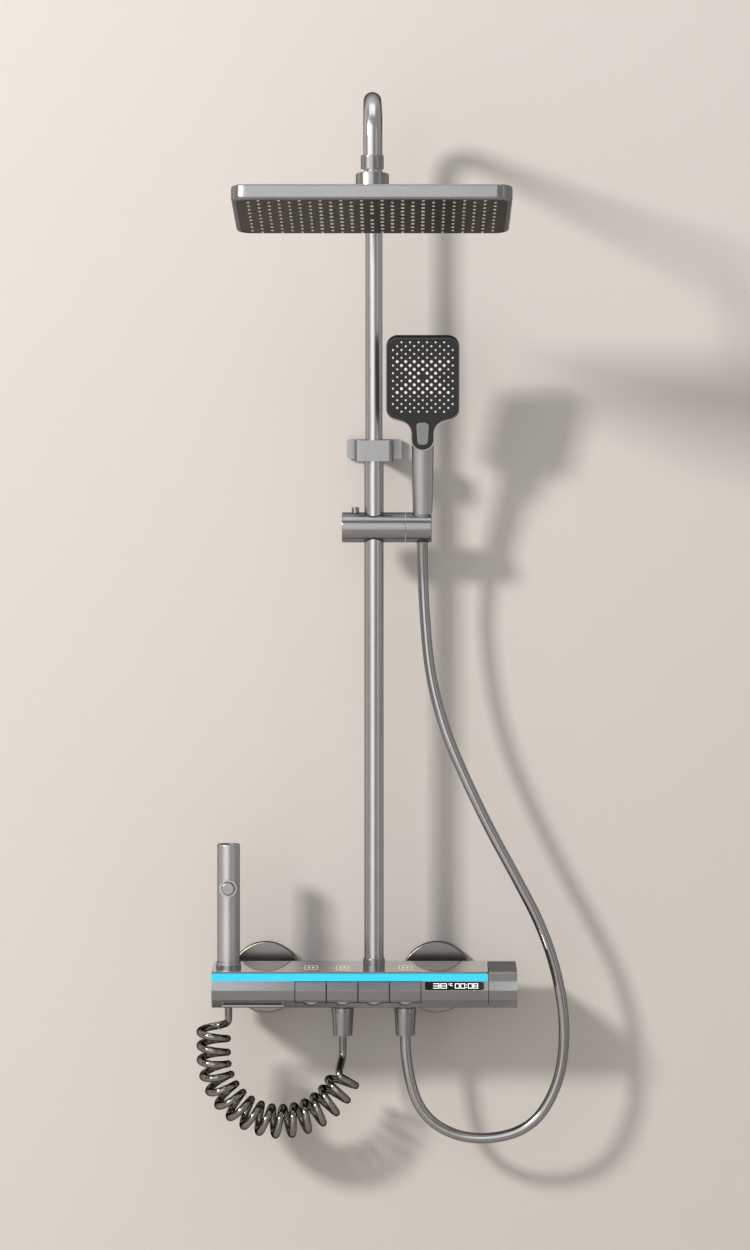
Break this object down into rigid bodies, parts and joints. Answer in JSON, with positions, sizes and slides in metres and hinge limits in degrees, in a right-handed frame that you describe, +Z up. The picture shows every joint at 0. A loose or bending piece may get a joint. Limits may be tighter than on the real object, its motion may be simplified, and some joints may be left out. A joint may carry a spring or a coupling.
{
  "type": "shower system",
  "caption": "Wall-mounted shower system with a shelf valve, push keys, digital display, rain head, handset on a slider and a hand spray on a curly hose.",
  "frame": {"origin": "on the wall plane, midway between the two wall inlets and at their height", "axes": "+X to the right seen from the front, +Y into the wall, +Z up along the riser"},
  "size_m": [0.4305, 0.5337, 1.2007],
  "materials": {
    "gun_metal": "satin gun-metal grey electroplated brass",
    "mirror_glass": "polished tempered glass with a grey mirror back",
    "light_diffuser": "frosted diffuser lit from behind",
    "black_acrylic": "dark acrylic",
    "circuit_board": "coated circuit board",
    "steel": "turned stainless steel",
    "brass": "cast and machined brass",
    "black_plastic": "moulded plastic",
    "white_plastic": "moulded plastic",
    "dark_metal": "dark plated metal",
    "silicone": "moulded silicone",
    "grey_plastic": "moulded plastic",
    "smooth_hose": "smooth hose with a metallic film",
    "curly_hose": "glossy black spiral hose"
  },
  "bodies": {
    "valve": {"valve_housing": "gun_metal", "top_glass": "mirror_glass", "light_strip": "light_diffuser", "fascia_left": "gun_metal", "fascia_display": "gun_metal", "display_window": "black_acrylic", "display_board": "circuit_board", "key_axle": "steel", "bottom_cover": "black_plastic", "cover_screws": "steel", "water_manifold": "brass", "push_cartridges": "black_plastic", "mixing_cartridge": "black_plastic", "generator_case": "black_plastic", "bath_spout": "gun_metal", "gun_socket": "gun_metal", "outlet_nipples": "brass", "eccentric_unions": "brass", "union_nuts": "brass", "wall_rosettes": "dark_metal", "riser_lower": "gun_metal", "riser_collar": "gun_metal", "bracket_plate": "gun_metal", "bracket_arm": "gun_metal", "bracket_clamp": "gun_metal", "bracket_screws": "steel", "hand_hose": "smooth_hose", "coil_hose": "curly_hose", "hose_nuts": "gun_metal"},
    "bath_key": {"key_bath": "gun_metal"},
    "bidet_key": {"key_bidet": "gun_metal"},
    "overhead_key": {"key_overhead": "gun_metal"},
    "handset_key": {"key_handset": "gun_metal"},
    "temperature_control": {"temperature_handle": "gun_metal", "handle_spindle": "steel"},
    "turbine": {"turbine_rotor": "white_plastic"},
    "riser_slide": {"riser_plug": "brass"},
    "overhead_arm": {"gooseneck": "gun_metal", "arm_collar": "gun_metal", "ball_stem": "steel"},
    "ball_ring": {"ball_seat": "black_plastic"},
    "rain_head": {"head_nut": "gun_metal", "head_shell": "gun_metal", "spray_plate": "dark_metal", "head_nozzles": "silicone"},
    "slider": {"slider_body": "gun_metal", "slider_bush": "black_plastic", "hand_hose_top": "smooth_hose"},
    "slider_release": {"release_button": "gun_metal"},
    "holder": {"handset_holder": "gun_metal", "holder_pivot": "steel"},
    "handset": {"handset_shell": "gun_metal", "handset_face": "black_acrylic", "handset_nozzles": "silicone", "hose_cone": "grey_plastic"},
    "handset_switch": {"handset_button": "grey_plastic"},
    "hand_spray": {"gun_body": "gun_metal", "gun_nozzle": "black_plastic", "gun_tail": "black_plastic"},
    "hand_spray_button": {"gun_button": "gun_metal"}
  },
  "joints": [
    {"name": "bath_key_press", "type": "hinge", "parent": "valve", "child": "bath_key", "pos_m": [0, -0.134, 0.0058], "axis": [1, 0, 0], "range_deg": [0, 6], "stiffness_Nm_per_rad": 3},
    {"name": "bidet_key_press", "type": "hinge", "parent": "valve", "child": "bidet_key", "pos_m": [0, -0.134, 0.0058], "axis": [1, 0, 0], "range_deg": [0, 6], "stiffness_Nm_per_rad": 3},
    {"name": "overhead_key_press", "type": "hinge", "parent": "valve", "child": "overhead_key", "pos_m": [0, -0.134, 0.0058], "axis": [1, 0, 0], "range_deg": [0, 6], "stiffness_Nm_per_rad": 3},
    {"name": "handset_key_press", "type": "hinge", "parent": "valve", "child": "handset_key", "pos_m": [0, -0.134, 0.0058], "axis": [1, 0, 0], "range_deg": [0, 6], "stiffness_Nm_per_rad": 3},
    {"name": "temperature_turn", "type": "hinge", "parent": "valve", "child": "temperature_control", "pos_m": [0.174, -0.085, -0.002], "axis": [1, 0, 0], "range_deg": [-45, 45]},
    {"name": "turbine_spin", "type": "hinge", "parent": "valve", "child": "turbine", "pos_m": [-0.135, -0.0695, -0.002], "axis": [1, 0, 0], "continuous": true},
    {"name": "riser_extend", "type": "slide", "parent": "valve", "child": "riser_slide", "axis": [0, 0, 1], "range_m": [-0.2, 0.08]},
    {"name": "arm_swivel", "type": "hinge", "parent": "riser_slide", "child": "overhead_arm", "pos_m": [0.02685, -0.08, 0.7], "axis": [0, 0, 1], "range_deg": [-45, 45]},
    {"name": "head_turn", "type": "hinge", "parent": "overhead_arm", "child": "ball_ring", "pos_m": [0.02685, -0.415, 0.91], "axis": [0, 0, 1], "range_deg": [-90, 90]},
    {"name": "head_tilt", "type": "hinge", "parent": "ball_ring", "child": "rain_head", "pos_m": [0.02685, -0.415, 0.91], "axis": [1, 0, 0], "range_deg": [-5, 22]},
    {"name": "slider_move", "type": "slide", "parent": "valve", "child": "slider", "axis": [0, 0, 1], "range_m": [-0.3, 0.045], "deforming": ["hand_hose", "hand_hose_top"]},
    {"name": "release_press", "type": "slide", "parent": "slider", "child": "slider_release", "axis": [0, 0, -1], "range_m": [0, 0.003], "stiffness_N_per_m": 800},
    {"name": "holder_tilt", "type": "hinge", "parent": "slider", "child": "holder", "pos_m": [0.06, -0.08, 0.5263], "axis": [1, 0, 0], "range_deg": [-20, 30], "deforming": ["hand_hose_top"]},
    {"name": "handset_lift", "type": "slide", "parent": "holder", "child": "handset", "axis": [0, -0.2079, 0.9781], "range_m": [0, 0.05], "deforming": ["hand_hose_top"]},
    {"name": "handset_switch_press", "type": "slide", "parent": "handset", "child": "handset_switch", "axis": [0, 0.9781, 0.2079], "range_m": [0, 0.002], "stiffness_N_per_m": 900},
    {"name": "hand_spray_lift", "type": "slide", "parent": "valve", "child": "hand_spray", "axis": [0, 0, 1], "range_m": [0, 0.1], "deforming": ["coil_hose"]},
    {"name": "hand_spray_press", "type": "slide", "parent": "hand_spray", "child": "hand_spray_button", "axis": [0, 1, 0], "range_m": [0, 0.003], "stiffness_N_per_m": 900}
  ]
}
